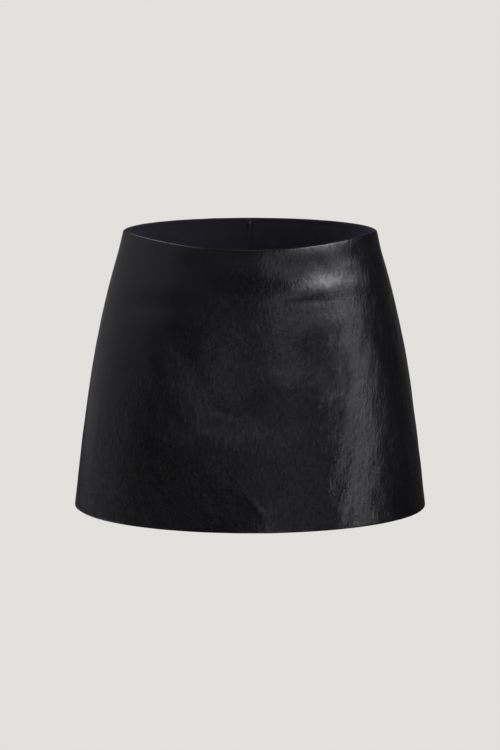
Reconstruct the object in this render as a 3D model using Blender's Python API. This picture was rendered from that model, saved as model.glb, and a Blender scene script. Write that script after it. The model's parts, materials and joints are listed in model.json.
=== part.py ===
"""A faux leather skort in its worn shape: an A-line mini skirt sewn over plain shorts, with a
concealed zip at the centre back.

Metres, +Z up. The wearer faces -Y and has the left side at +X. The origin is the middle of the
waist opening, level with the tops of the side seams. "Drop" is a distance below the waist edge,
"angle" runs round the body from the centre front (0) over the left side seam (a quarter turn) to
the centre back (half a turn), and "inward" is a distance from a cloth's outer face, along its
normal, towards the wearer.
"""

import math
from collections import namedtuple

import bmesh
import bpy
from mathutils import Matrix, Vector

# ---------------------------------------------------------------- driving dimensions
HEM_DROP = 0.3220
WAIST_DIP = 0.0070  # how much lower the waist edge is at the centre front than at the sides
WAIST_DIP_FADE = 0.090  # the drop over which the rows straighten out below the dip
LEATHER = 0.0012
LINING = 0.0010  # the shorts' cloth
SEAM_GAP = 0.0003
HALF_SEAM = SEAM_GAP / 2
LAYER_GAP = 0.0007  # between the skirt and the shorts at the waist seam

# Half an oval to the front and half to the back. A front power of 1 gives an ellipse, and a
# higher one flattens the front's ends, so that it meets the side seams in a point.
Section = namedtuple("Section", "drop half_width front_depth back_depth front_power")
SKIRT_SECTIONS = (
    Section(0.000, 0.1448, 0.1000, 0.1050, 1.50),
    Section(0.020, 0.1496, 0.1042, 0.1098, 1.42),
    Section(0.060, 0.1608, 0.1110, 0.1195, 1.30),
    Section(0.100, 0.1705, 0.1164, 0.1280, 1.22),
    Section(0.145, 0.1796, 0.1212, 0.1345, 1.15),
    Section(0.190, 0.1870, 0.1252, 0.1390, 1.10),
    Section(0.250, 0.1954, 0.1297, 0.1425, 1.04),
    Section(HEM_DROP, 0.2042, 0.1345, 0.1452, 1.00),
)

# How far the shorts lie inside the skirt: next to it at the waist, and apart at the legs.
Inset = namedtuple("Inset", "drop side front back")
AT_WAIST = LEATHER + LAYER_GAP
SHORTS_INSETS = (
    Inset(0.000, AT_WAIST, AT_WAIST, AT_WAIST),
    Inset(0.020, 0.0025, 0.0038, 0.0022),
    Inset(0.060, 0.0040, 0.0048, 0.0026),
    Inset(0.100, 0.0060, 0.0062, 0.0028),
    Inset(0.150, 0.0100, 0.0080, 0.0038),
    Inset(0.205, 0.0165, 0.0095, 0.0060),
    Inset(0.235, 0.0215, 0.0105, 0.0080),
    Inset(0.262, 0.0265, 0.0115, 0.0105),
)
CROTCH_DROP = 0.205
SHORTS_HEM_DROP = 0.262
RISE_POWER = 6  # how late the rise seams curve under: higher is squarer
INSEAM_STANDOFF = 0.012  # from the middle plane to the inseam at the shorts' hem

# Soft folds in the leather. "around" is an arc length from the centre front, towards the
# wearer's left. A fold runs along a line that leans from the vertical, to the left going down.
Fold = namedtuple("Fold", "around drop length width height lean_deg")
FOLDS = (
    Fold(0.020, 0.026, 0.240, 0.050, -0.0016, 89),
    Fold(0.088, 0.0085, 0.062, 0.026, 0.0010, 90),
    Fold(0.076, 0.052, 0.092, 0.025, 0.0011, 91),
    Fold(0.082, 0.094, 0.095, 0.036, 0.0012, 88),
    Fold(0.050, 0.161, 0.095, 0.032, 0.0009, 84),
    Fold(-0.078, 0.168, 0.130, 0.040, 0.0014, 27),
    Fold(0.185, 0.255, 0.120, 0.034, 0.0014, 14),
    Fold(0.012, 0.300, 0.070, 0.030, 0.0012, 24),
    Fold(-0.100, 0.072, 0.110, 0.030, -0.0008, 95),
    Fold(0.330, 0.110, 0.120, 0.034, 0.0012, 100),
    Fold(-0.335, 0.118, 0.110, 0.032, 0.0011, 78),
    Fold(0.350, 0.235, 0.150, 0.046, 0.0014, -12),
    Fold(-0.340, 0.250, 0.140, 0.044, 0.0014, 9),
)

# The wall's two faces, as distances inward, where the leather is rolled over the waist edge. The
# roll's inner end covers the top of the shorts.
Row = namedtuple("Row", "drop outer inner")
WAIST_ROLL = (
    Row(0.0000, 0.0009, 0.0021),
    Row(0.0007, 0.0002, 0.0028),
    Row(0.0024, 0.0000, 0.0030),
    Row(0.0050, 0.0000, 0.0030),
    Row(0.0054, 0.0000, LEATHER),
)
SHORTS_TOP_DROP = 0.0063  # below the roll's inner end, which the skirt's flare tips down
HEM_TURN = 0.024
HEM_STEP = 0.0006
HEM_ROUND = 0.0006
LAYERS_IN_HEM = 2

SLIDER_DROP = 0.0094
SLIDER_SIZE = Vector((0.0040, 0.0070, 0.0028))  # across, down, through
SLIDER_BEVEL = 0.0005
ZIP_TOP_DROP = SLIDER_DROP + SLIDER_SIZE.y / 2 + SEAM_GAP  # the chain's top end
ZIP_END_DROP = 0.125
ZIP_END_CLOSE = 0.004  # the drop over which the shorts' back edges meet again below the zip
CHAIN_HALF_WIDTH = 0.0022
CHAIN_THICKNESS = 0.0016
CHAIN_CORNER = 0.0005
ZIP_SLOT = CHAIN_HALF_WIDTH + SEAM_GAP

NECK_HALF_WIDTH = 0.0007
NECK_HALF_HEIGHT = 0.0016
EYE_RADIUS = 0.0016
EYE_HOLE_RADIUS = 0.0009
EYE_INSET = 0.00002  # keeps the eye's flat ends off the neck's
PIN_STANDOFF = 0.0020  # from the leather to the pull's pin
PIN_RADIUS = 0.00055
PULL_LENGTH = 0.0210
PULL_THICKNESS = 0.0011
PULL_TOP_HALF_WIDTH = 0.0019
PULL_TIP_RADIUS = 0.0030
PULL_TIP_SWEEP_DEG = (200, 20)  # the tip's round stretch, before and after its +X side
PULL_TOP_RIM = 0.0004  # of the pull beyond its pin
PULL_TOP = PIN_RADIUS + PULL_TOP_RIM
PULL_WINDOW_END = 0.0023
PULL_TILT_DEG = 3.0  # towards the leather, from its tangent

SKIRT_ROW_STEP = 0.0145
BELOW_ROLL = 0.006  # from the roll's inner end to the first even row
# The shorts' rows, as shares of the drop to the crotch and of the drop from there to the hem. They
# crowd together at the crotch, where the rise seams curve under.
RISE_SHARES = (0, 0.12, 0.26, 0.40, 0.53, 0.65, 0.75, 0.83, 0.89, 0.935, 0.965, 0.985, 0.996, 1)
LEG_SHARES = (0.03, 0.12, 0.28, 0.52, 0.78, 1)
FRONT_COLUMNS = 28
BACK_COLUMNS = 15
SHORTS_COLUMNS = 10
CHAIN_ROWS = 9
ROUND_SIDES = 16
RISE_TRIES = 4  # rounds in which a rise seam's place settles

DIFFERENCE = 1e-4  # the step that slopes are taken over
ROUNDING = 1e-6  # drops this close are the same row
SHARP_ANGLE = math.radians(40)


# ---------------------------------------------------------------- smooth tables
def between(rows, drop):
    """The other columns of a table at this drop, on a smooth curve through its rows."""
    last = len(rows) - 1
    i = min(max(sum(row[0] <= drop for row in rows) - 1, 0), last - 1)
    start, end = rows[i], rows[i + 1]
    span = end[0] - start[0]
    t = min(max((drop - start[0]) / span, 0.0), 1.0)
    before, after = rows[max(i - 1, 0)], rows[min(i + 2, last)]
    values = []
    for k in range(1, len(start)):
        slope_in = (end[k] - before[k]) / (end[0] - before[0])
        slope_out = (after[k] - start[k]) / (after[0] - start[0])
        values.append(
            (2 * t**3 - 3 * t**2 + 1) * start[k]
            + (t**3 - 2 * t**2 + t) * span * slope_in
            + (3 * t**2 - 2 * t**3) * end[k]
            + (t**3 - t**2) * span * slope_out
        )
    return values


def smooth_step(t):
    t = min(max(t, 0.0), 1.0)
    return t * t * (3 - 2 * t)


# ---------------------------------------------------------------- the skirt's surface
def dipped(front, drop):
    """The height of a row below the origin. "front" is 1 at the centre front and 0 at the sides."""
    return drop + WAIST_DIP * max(front, 0.0) ** 3 * (1 - smooth_step(drop / WAIST_DIP_FADE))


def mean_radius(drop):
    half_width, front_depth, back_depth, _ = between(SKIRT_SECTIONS, drop)
    return (2 * half_width + front_depth + back_depth) / 4


def fold_height(angle, drop):
    total = 0.0
    turn = 2 * math.pi
    for fold in FOLDS:
        radius = mean_radius(drop)
        offset = (angle - fold.around / radius + math.pi) % turn - math.pi
        across, down = offset * radius, drop - fold.drop
        lean = math.radians(fold.lean_deg)
        along = across * math.sin(lean) + down * math.cos(lean)
        aside = across * math.cos(lean) - down * math.sin(lean)
        fade = (2 * along / fold.length) ** 2 + (2 * aside / fold.width) ** 2
        total += fold.height * math.exp(-fade)
    return total


def bare_skirt(angle, drop):
    height = dipped(math.cos(angle), drop)
    half_width, front_depth, back_depth, power = between(SKIRT_SECTIONS, height)
    cosine = math.cos(angle)
    depth = -front_depth * cosine**power if cosine > 0 else -back_depth * cosine
    return Vector((half_width * math.sin(angle), depth, -height))


def skirt_surface(angle, drop):
    """A point of the leather's outer face, with its folds."""
    point = bare_skirt(angle, drop)
    return point + normal_at(bare_skirt, angle, drop) * fold_height(angle, drop)


def normal_at(surface, angle, drop):
    """The direction out of the garment."""
    low_drop = max(drop - DIFFERENCE, 0.0)
    around = surface(angle + DIFFERENCE, drop) - surface(angle - DIFFERENCE, drop)
    down = surface(angle, drop + DIFFERENCE) - surface(angle, low_drop)
    return down.cross(around).normalized()


def inside(surface, angle, drop, inward):
    return surface(angle, drop) - normal_at(surface, angle, drop) * inward


# ---------------------------------------------------------------- the shorts' surface
def leg_section(drop):
    """The left leg as an oval: its centre and half width, its depths to front and back, and the
    front's power. Above the crotch it reaches over the middle plane, where the rise seams cut it
    off."""
    skirt = between(SKIRT_SECTIONS, drop)
    side, front, back = between(SHORTS_INSETS, drop)
    outside = skirt[0] - side
    if drop < CROTCH_DROP:
        half_width = outside / (1 + (drop / CROTCH_DROP) ** RISE_POWER)
    else:
        t = min((drop - CROTCH_DROP) / (SHORTS_HEM_DROP - CROTCH_DROP), 1.0)
        inseam = HALF_SEAM + INSEAM_STANDOFF * math.sqrt(1 - (1 - t) ** 2)
        half_width = (outside - inseam) / 2
    # A narrower oval is also shallower, by as much as keeps it inside the whole one.
    narrower, power = half_width / outside, skirt[3]
    front_depth = (skirt[1] - front) * narrower ** (power / 2)
    back_depth = (skirt[2] - back) * narrower ** (1 / 2)
    return outside - half_width, half_width, front_depth, back_depth, power


def leg_surface(turn, drop):
    """The left leg's outer face. A turn runs from the inseam (0) over the front to the side seam
    (pi), and over the back to the inseam again (2 pi)."""
    height = dipped(math.sin(turn), drop)
    centre, half_width, front_depth, back_depth, power = leg_section(height)
    sine = math.sin(turn)
    depth = -front_depth * sine**power if sine > 0 else -back_depth * sine
    return Vector((centre - half_width * math.cos(turn), depth, -height))


def rise_turn(drop, half_gap, back):
    """The turn at which a leg's section meets the rise seam or, lower down, the inseam."""
    turn = math.pi / 2
    for _ in range(RISE_TRIES):
        height = drop if back else dipped(math.sin(turn), drop)
        section = leg_section(height)
        centre, half_width = section[:2]
        cosine = min((centre - half_gap) / half_width, 1.0)
        turn = max(math.acos(cosine), seam_share(section, back))
    return 2 * math.pi - turn if back else turn


def seam_share(section, back):
    """How far round from an oval's end its edge lies half a seam's gap from the middle."""
    front_depth, back_depth, power = section[-3:]
    return HALF_SEAM / back_depth if back else (HALF_SEAM / front_depth) ** (1 / power)


def side_turn(drop, back):
    away = seam_share(leg_section(drop), back)
    return math.pi + (away if back else -away)


# ---------------------------------------------------------------- making objects
def clear_scene():
    for obj in list(bpy.data.objects):
        bpy.data.objects.remove(obj)


def make_material(name, colour, roughness, metallic=0.0):
    material = bpy.data.materials.new(name)
    material.use_nodes = True
    shader = material.node_tree.nodes["Principled BSDF"]
    shader.inputs["Base Color"].default_value = (*colour, 1.0)
    shader.inputs["Roughness"].default_value = roughness
    shader.inputs["Metallic"].default_value = metallic
    material.diffuse_color = (*colour, 1.0)
    return material


def make_object(name, bm, material, smooth=True):
    bmesh.ops.recalc_face_normals(bm, faces=bm.faces)
    mesh = bpy.data.meshes.new(name)
    bm.to_mesh(mesh)
    bm.free()
    mesh.materials.append(material)
    if smooth:
        mesh.shade_smooth()
        mesh.set_sharp_from_angle(angle=SHARP_ANGLE)
    obj = bpy.data.objects.new(name, mesh)
    bpy.context.scene.collection.objects.link(obj)
    return obj


# A panel's end: the angle that it lies at for each drop, and the axis that its seam is square to,
# so that the seam's two edges stay parallel through the wall. None leaves them square to the wall.
Edge = namedtuple("Edge", "angle seam_axis")
X_AXIS, Y_AXIS = 0, 1


def panel_point(surface, edge, angle, drop, inward):
    point = inside(surface, angle, drop, inward)
    if edge and edge.seam_axis is not None:
        point[edge.seam_axis] = surface(angle, drop)[edge.seam_axis]
    return point


def make_panel(name, surface, edges, columns, rows, material, mirrored=False):
    """A closed wall of cloth: each row gives the drop and how far in its two faces lie."""
    bm = bmesh.new()
    flip = Vector((-1 if mirrored else 1, 1, 1))
    grids = {"outer": [], "inner": []}
    for row in rows:
        start, end = (edge.angle(row.drop) for edge in edges)
        for face, grid in grids.items():
            line = []
            for j in range(columns + 1):
                edge = {0: edges[0], columns: edges[1]}.get(j)
                angle = start + (end - start) * j / columns
                point = panel_point(surface, edge, angle, row.drop, getattr(row, face))
                line.append(bm.verts.new(point * flip))
            grid.append(line)
    outer, inner = grids["outer"], grids["inner"]
    last = len(rows) - 1
    for i in range(last):
        for grid in (outer, inner):
            for j in range(columns):
                bm.faces.new((grid[i][j], grid[i + 1][j], grid[i + 1][j + 1], grid[i][j + 1]))
        for j in (0, columns):
            bm.faces.new((outer[i][j], outer[i + 1][j], inner[i + 1][j], inner[i][j]))
    for i in (0, last):
        for j in range(columns):
            bm.faces.new((outer[i][j], outer[i][j + 1], inner[i][j + 1], inner[i][j]))
    make_object(name, bm, material)


def evenly(start, end, step):
    """Drops from start to end, about a step apart, both ends included."""
    count = max(round((end - start) / step), 1)
    return [start + (end - start) * i / count for i in range(count + 1)]


# ---------------------------------------------------------------- the skirt
def skirt_rows(extra_drops=()):
    turned = HEM_DROP - HEM_TURN
    drops = evenly(WAIST_ROLL[-1].drop + BELOW_ROLL, turned, SKIRT_ROW_STEP)
    drops = sorted(set(drops) | set(extra_drops))
    hem_inner = LEATHER * LAYERS_IN_HEM
    return (
        list(WAIST_ROLL)
        + [Row(drop, 0.0, LEATHER) for drop in drops]
        + [Row(turned + HEM_STEP, 0.0, hem_inner)]
        + [Row((turned + HEM_DROP) / 2, 0.0, hem_inner)]
        + [Row(HEM_DROP - HEM_ROUND, 0.0, hem_inner)]
        + [Row(HEM_DROP, HEM_ROUND, hem_inner - HEM_ROUND)]
    )


def side_seam_angle(drop, back):
    away = seam_share(between(SKIRT_SECTIONS, drop), back)
    return math.pi / 2 + (away if back else -away)


# The centre back edges part round the slider's neck and meet below and above it.
NECK_OPENING = NECK_HALF_WIDTH + SEAM_GAP
NECK_CLEAR = NECK_HALF_HEIGHT + SEAM_GAP
NECK_SHOULDER = 0.0015
NECK_DROPS = (
    SLIDER_DROP - NECK_CLEAR - NECK_SHOULDER,
    SLIDER_DROP - NECK_CLEAR,
    SLIDER_DROP + NECK_CLEAR,
    SLIDER_DROP + NECK_CLEAR + NECK_SHOULDER,
)


def centre_back_angle(drop):
    half_width = between(SKIRT_SECTIONS, drop)[0]
    at_neck = NECK_DROPS[1] - ROUNDING <= drop <= NECK_DROPS[2] + ROUNDING
    return math.pi - (NECK_OPENING if at_neck else HALF_SEAM) / half_width


def make_skirt(leather):
    front_side = Edge(lambda drop: side_seam_angle(drop, False), Y_AXIS)
    make_panel(
        "skirt_front",
        skirt_surface,
        (Edge(lambda drop: -front_side.angle(drop), Y_AXIS), front_side),
        FRONT_COLUMNS,
        skirt_rows(),
        leather,
    )
    for name, side in (("skirt_back_left", 1), ("skirt_back_right", -1)):
        make_panel(
            name,
            skirt_surface,
            (
                Edge(lambda drop, side=side: side * side_seam_angle(drop, True), Y_AXIS),
                Edge(lambda drop, side=side: side * centre_back_angle(drop), X_AXIS),
            ),
            BACK_COLUMNS,
            skirt_rows(NECK_DROPS),
            leather,
        )


# ---------------------------------------------------------------- the shorts
def shorts_rows(extra_drops=()):
    rise = CROTCH_DROP - SHORTS_TOP_DROP
    above = [SHORTS_TOP_DROP + rise * share for share in RISE_SHARES]
    leg = SHORTS_HEM_DROP - CROTCH_DROP
    below = [CROTCH_DROP + leg * share for share in LEG_SHARES]
    drops = sorted(set(above) | set(below) | set(extra_drops))
    return [Row(drop, 0.0, LINING) for drop in drops]


def zip_half_gap(drop):
    return ZIP_SLOT if drop <= ZIP_END_DROP + SEAM_GAP + ROUNDING else HALF_SEAM


def make_shorts(cloth):
    zip_end = (ZIP_END_DROP + SEAM_GAP, ZIP_END_DROP + ZIP_END_CLOSE)
    front_edges = (
        Edge(lambda drop: rise_turn(drop, HALF_SEAM, False), None),
        Edge(lambda drop: side_turn(drop, False), Y_AXIS),
    )
    back_edges = (
        Edge(lambda drop: side_turn(drop, True), Y_AXIS),
        Edge(lambda drop: rise_turn(drop, zip_half_gap(drop), True), None),
    )
    for side, mirrored in (("left", False), ("right", True)):
        for face, edges, rows in (
            ("front", front_edges, shorts_rows()),
            ("back", back_edges, shorts_rows(zip_end)),
        ):
            name = f"shorts_{face}_{side}"
            make_panel(name, leg_surface, edges, SHORTS_COLUMNS, rows, cloth, mirrored)


# ---------------------------------------------------------------- the zip
def make_chain(material):
    """The closed coil, a narrow strip against the inside of the centre back seam."""
    bm = bmesh.new()
    near = LEATHER + SEAM_GAP
    far = near + CHAIN_THICKNESS
    outline = (
        (-CHAIN_HALF_WIDTH, near),
        (CHAIN_HALF_WIDTH, near),
        (CHAIN_HALF_WIDTH, far - CHAIN_CORNER),
        (CHAIN_HALF_WIDTH - CHAIN_CORNER, far),
        (CHAIN_CORNER - CHAIN_HALF_WIDTH, far),
        (-CHAIN_HALF_WIDTH, far - CHAIN_CORNER),
    )
    rings = []
    for drop in evenly(ZIP_TOP_DROP, ZIP_END_DROP, (ZIP_END_DROP - ZIP_TOP_DROP) / CHAIN_ROWS):
        middle = skirt_surface(math.pi, drop)
        out = normal_at(skirt_surface, math.pi, drop)
        rings.append(
            [bm.verts.new(middle + Vector((x, 0, 0)) - out * inward) for x, inward in outline]
        )
    for ring, following in zip(rings, rings[1:]):
        for j in range(len(outline)):
            k = (j + 1) % len(outline)
            bm.faces.new((ring[j], ring[k], following[k], following[j]))
    bm.faces.new(rings[0])
    bm.faces.new(rings[-1])
    make_object("zip_chain", bm, material)


def slider_frame():
    """Axes at the slider's middle on the leather's outer face: across, up it, and out of it."""
    origin = skirt_surface(math.pi, SLIDER_DROP)
    out = normal_at(skirt_surface, math.pi, SLIDER_DROP)
    out.x = 0.0
    out.normalize()
    across = Vector((-1, 0, 0))
    up = out.cross(across)
    frame = Matrix((across, up, out)).transposed().to_4x4()
    frame.translation = origin
    return frame


def box_mesh(low, high, bevel=0.0):
    bm = bmesh.new()
    bmesh.ops.create_cube(bm, size=1.0)
    size = Vector(high) - Vector(low)
    bmesh.ops.scale(bm, vec=size, verts=bm.verts)
    bmesh.ops.translate(bm, vec=(Vector(high) + Vector(low)) / 2, verts=bm.verts)
    if bevel:
        bmesh.ops.bevel(bm, geom=bm.edges[:], offset=bevel, segments=2, profile=0.5, affect="EDGES")
    return bm


def rod_mesh(radius, half_length, centre):
    """A cylinder along X."""
    bm = bmesh.new()
    bmesh.ops.create_cone(
        bm,
        cap_ends=True,
        segments=ROUND_SIDES,
        radius1=radius,
        radius2=radius,
        depth=2 * half_length,
        matrix=Matrix.Translation(centre) @ Matrix.Rotation(math.pi / 2, 4, "Y"),
    )
    return bm


def plate_mesh(outline, half_thickness):
    """A flat outline in the frame's own X and Y, thickened along its Z."""
    bm = bmesh.new()
    face = bm.faces.new([bm.verts.new((x, y, -half_thickness)) for x, y in outline])
    grown = bmesh.ops.extrude_face_region(bm, geom=[face])
    lifted = [part for part in grown["geom"] if isinstance(part, bmesh.types.BMVert)]
    bmesh.ops.translate(bm, vec=(0, 0, 2 * half_thickness), verts=lifted)
    return bm


def combine(target, name, tool_bm, operation):
    """Joins a shape given in the target's own frame to the target, or cuts it out."""
    tool = make_object(name, tool_bm, target.data.materials[0], smooth=False)
    tool.matrix_world = target.matrix_world
    tool.hide_render = True
    tool.display_type = "WIRE"
    modifier = target.modifiers.new(name, "BOOLEAN")
    modifier.operation = operation
    modifier.object = tool
    modifier.solver = "EXACT"


def make_slider(metal):
    """The body lies on the inside, and a thin neck carries the pull's eye to the outside."""
    back_of_leather = -LEATHER - SEAM_GAP
    half = SLIDER_SIZE / 2
    low = (-half.x, -half.y, back_of_leather - SLIDER_SIZE.z)
    body = box_mesh(low, (half.x, half.y, back_of_leather), SLIDER_BEVEL)
    slider = make_object("zip_slider", body, metal)
    slider.matrix_world = slider_frame()
    pin = Vector((0, 0, PIN_STANDOFF))
    neck = box_mesh(
        (-NECK_HALF_WIDTH, -NECK_HALF_HEIGHT, back_of_leather - half.z),
        (NECK_HALF_WIDTH, NECK_HALF_HEIGHT, PIN_STANDOFF - EYE_HOLE_RADIUS / 2),
    )
    combine(slider, "slider_neck", neck, "UNION")
    eye = rod_mesh(EYE_RADIUS, NECK_HALF_WIDTH - EYE_INSET, pin)
    combine(slider, "slider_eye", eye, "UNION")
    hole = rod_mesh(EYE_HOLE_RADIUS, 2 * NECK_HALF_WIDTH, pin)
    combine(slider, "slider_hole", hole, "DIFFERENCE")


def make_pull(metal):
    """A teardrop that hangs from its pin, which passes through the slider's eye."""
    tip_centre = PULL_TIP_RADIUS - PULL_LENGTH
    outline = [
        (PULL_TOP_HALF_WIDTH, PULL_TOP),
        (-PULL_TOP_HALF_WIDTH, PULL_TOP),
        (-PULL_TOP_HALF_WIDTH, -PULL_WINDOW_END),
    ]
    for i in range(ROUND_SIDES + 1):
        angle = math.radians(-PULL_TIP_SWEEP_DEG[0] + sum(PULL_TIP_SWEEP_DEG) * i / ROUND_SIDES)
        x, y = PULL_TIP_RADIUS * math.cos(angle), PULL_TIP_RADIUS * math.sin(angle)
        outline.append((x, tip_centre + y))
    outline.append((PULL_TOP_HALF_WIDTH, -PULL_WINDOW_END))
    pull = make_object("zip_pull", plate_mesh(outline, PULL_THICKNESS / 2), metal)
    tilt = Matrix.Rotation(math.radians(PULL_TILT_DEG), 4, "X")
    pull.matrix_world = slider_frame() @ Matrix.Translation((0, 0, PIN_STANDOFF)) @ tilt
    slot = NECK_HALF_WIDTH + SEAM_GAP
    window = box_mesh((-slot, -PULL_WINDOW_END, -PULL_THICKNESS), (slot, 2 * PULL_TOP, PULL_THICKNESS))
    combine(pull, "pull_window", window, "DIFFERENCE")
    pin = rod_mesh(PIN_RADIUS, slot + SEAM_GAP, Vector((0, 0, 0)))
    combine(pull, "pull_pin", pin, "UNION")


def main():
    clear_scene()
    leather = make_material("faux_leather", (0.012, 0.012, 0.013), 0.32)
    cloth = make_material("shorts_cloth", (0.011, 0.010, 0.015), 0.85)
    coil = make_material("zip_coil", (0.012, 0.011, 0.014), 0.6)
    metal = make_material("zip_metal", (0.03, 0.03, 0.032), 0.35, 0.8)
    make_skirt(leather)
    make_shorts(cloth)
    make_chain(coil)
    make_slider(metal)
    make_pull(metal)


main()
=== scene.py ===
"""The looks of a faux leather skort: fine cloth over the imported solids, its materials, and a
plain pale studio.

Metres, +Z up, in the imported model's frame. The wearer faces -Y and has the left side at +X. The
origin is the middle of the waist opening. "Drop" is a distance below the waist edge, "angle" runs
round the body from the centre front (0) over the left side seam to the centre back (half a turn),
and "inward" is a distance from a cloth's outer face, along its normal, towards the wearer.
"""

import json
import math
from collections import namedtuple

import bmesh
import bpy
import numpy as np
from mathutils import Matrix, Vector


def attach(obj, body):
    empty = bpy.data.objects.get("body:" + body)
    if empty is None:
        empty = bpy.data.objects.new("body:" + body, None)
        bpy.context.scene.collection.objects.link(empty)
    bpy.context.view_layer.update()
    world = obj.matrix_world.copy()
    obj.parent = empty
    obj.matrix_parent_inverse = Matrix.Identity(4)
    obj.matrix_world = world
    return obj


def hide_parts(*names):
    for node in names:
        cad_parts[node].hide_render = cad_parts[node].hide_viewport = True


# ---------------------------------------------------------------- the cut, as in the solids
HEM_DROP = 0.3220
WAIST_DIP = 0.0070
WAIST_DIP_FADE = 0.090
WAIST_DIP_POWER = 3  # how closely the dip keeps to the centre front
LEATHER = 0.0012
LINING = 0.0010
SEAM_GAP = 0.0003
HALF_SEAM = 0.00002  # sewn seams show closed
LAYER_GAP = 0.0007

Section = namedtuple("Section", "drop half_width front_depth back_depth front_power")
SKIRT_SECTIONS = (
    Section(0.000, 0.1448, 0.1000, 0.1050, 1.50),
    Section(0.020, 0.1496, 0.1042, 0.1098, 1.42),
    Section(0.060, 0.1608, 0.1110, 0.1195, 1.30),
    Section(0.100, 0.1705, 0.1164, 0.1280, 1.22),
    Section(0.145, 0.1796, 0.1212, 0.1345, 1.15),
    Section(0.190, 0.1870, 0.1252, 0.1390, 1.10),
    Section(0.250, 0.1954, 0.1297, 0.1425, 1.04),
    Section(HEM_DROP, 0.2042, 0.1345, 0.1452, 1.00),
)

Inset = namedtuple("Inset", "drop side front back")
AT_WAIST = LEATHER + LAYER_GAP
SHORTS_INSETS = (
    Inset(0.000, AT_WAIST, AT_WAIST, AT_WAIST),
    Inset(0.020, 0.0025, 0.0038, 0.0022),
    Inset(0.060, 0.0040, 0.0048, 0.0026),
    Inset(0.100, 0.0060, 0.0062, 0.0028),
    Inset(0.150, 0.0100, 0.0080, 0.0038),
    Inset(0.205, 0.0165, 0.0095, 0.0060),
    Inset(0.235, 0.0215, 0.0105, 0.0080),
    Inset(0.262, 0.0265, 0.0115, 0.0105),
)
CROTCH_DROP = 0.205
SHORTS_TOP_DROP = 0.0057  # 0.6 mm above the solids' top, close below the roll's end, which it is sewn to
SHORTS_HEM_DROP = 0.262
RISE_POWER = 6
INSEAM_STANDOFF = 0.012

HEM_TURN = 0.024
HEM_THICKNESS = 2 * LEATHER
ROLL_THICKNESS = 0.0030
ROLL_END_DROP = 0.0050
STEP_LENGTH = 0.0005  # how soon the wall's thickness changes at the end of a turning
# The radii over which a seam's edge turns in, on a panel's outer face and on its inner one.
LEATHER_ROLLS = (0.0008, 0.0)
SHORTS_ROLLS = (0.0004, 0.0004)

ZIP_TOP_DROP = 0.0132
ZIP_END_DROP = 0.125
ZIP_END_CLOSE = 0.004
CHAIN_HALF_WIDTH = 0.0022
ZIP_SLOT = CHAIN_HALF_WIDTH + SEAM_GAP
SLIDER_DROP = 0.0094
NECK_OPENING = 0.0010
NECK_CLEAR = 0.0019
NECK_SHOULDER = 0.0015

PIN_RADIUS = 0.00055
NECK_HALF_WIDTH = 0.0007
PULL_LENGTH = 0.0210
PULL_THICKNESS = 0.0011
PULL_TOP_HALF_WIDTH = 0.0019
PULL_TIP_RADIUS = 0.0030
PULL_TIP_RISE_DEG = 20  # how far the tip's round stretch runs up each side
PULL_TOP_RIM = 0.0004
PULL_WINDOW_END = 0.0023
PULL_TILT_DEG = 3.0
PULL_BEVEL = 0.00022
PULL_BEVEL_STEPS = 3
PULL_TIP_STEPS = 24
PIN_SIDES = 20

# ---------------------------------------------------------------- sewing and the zip's fine parts
STITCH_LENGTH = 0.0028
STITCH_SPACE = 0.22  # the share of each stitch that the next one's hole takes
STITCH_RADIUS = 0.00016
# Each point of a stitch: its share of the way, its lift and its girth, in thread radii.
STITCH_SHAPE = ((0.0, -1.0, 0.7), (0.14, 0.35, 1.0), (0.5, 0.8, 1.1), (0.86, 0.35, 1.0), (1.0, -1.0, 0.7))
STRAND_SIDES = 6
SHORTS_HEM_TURN = 0.018
HEM_STITCHES = 168
ZIP_STITCH_INSET = 0.0016
COIL_WIRE = 0.00024
COIL_PITCH = 0.0013
COIL_POINTS = 14  # for each turn
COIL_MIDDLE = 0.00093
COIL_REACH = 0.00100
COIL_INWARD = 0.0024
COIL_RISE = 0.00042
COIL_LAG = 0.5  # how far one row's turns lie behind the other's, so that they mesh
TAPE_INWARD = 0.0013
TAPE_THICKNESS = 0.0003
TAPE_HALF_WIDTH = 0.0115
TAPE_BEYOND = 0.004
TAPE_COLUMNS = 12

# ---------------------------------------------------------------- the relief of the worn cloth
# "around" is an arc length from the centre front towards the wearer's left. A form runs along a
# line that leans from the vertical, to the left going down. A height below 0 is a trough.
Form = namedtuple("Form", "around drop length width height lean_deg")
SWELLS = (  # the main folds, which the solids have too
    Form(0.020, 0.026, 0.240, 0.050, -0.0016, 89),
    Form(0.088, 0.0085, 0.062, 0.026, 0.0010, 90),
    Form(0.076, 0.052, 0.092, 0.025, 0.0011, 91),
    Form(0.082, 0.094, 0.095, 0.036, 0.0012, 88),
    Form(0.050, 0.161, 0.095, 0.032, 0.0009, 84),
    Form(-0.078, 0.168, 0.130, 0.040, 0.0018, 27),  # 0.4 mm higher here than in the solids
    Form(0.185, 0.255, 0.120, 0.034, 0.0014, 14),
    Form(0.012, 0.300, 0.070, 0.030, 0.0012, 24),
    Form(-0.100, 0.072, 0.110, 0.030, -0.0008, 95),
    Form(0.330, 0.110, 0.120, 0.034, 0.0012, 100),
    Form(-0.335, 0.118, 0.110, 0.032, 0.0011, 78),
    Form(0.350, 0.235, 0.150, 0.046, 0.0014, -12),
    Form(-0.340, 0.250, 0.140, 0.044, 0.0014, 9),
)
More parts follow.
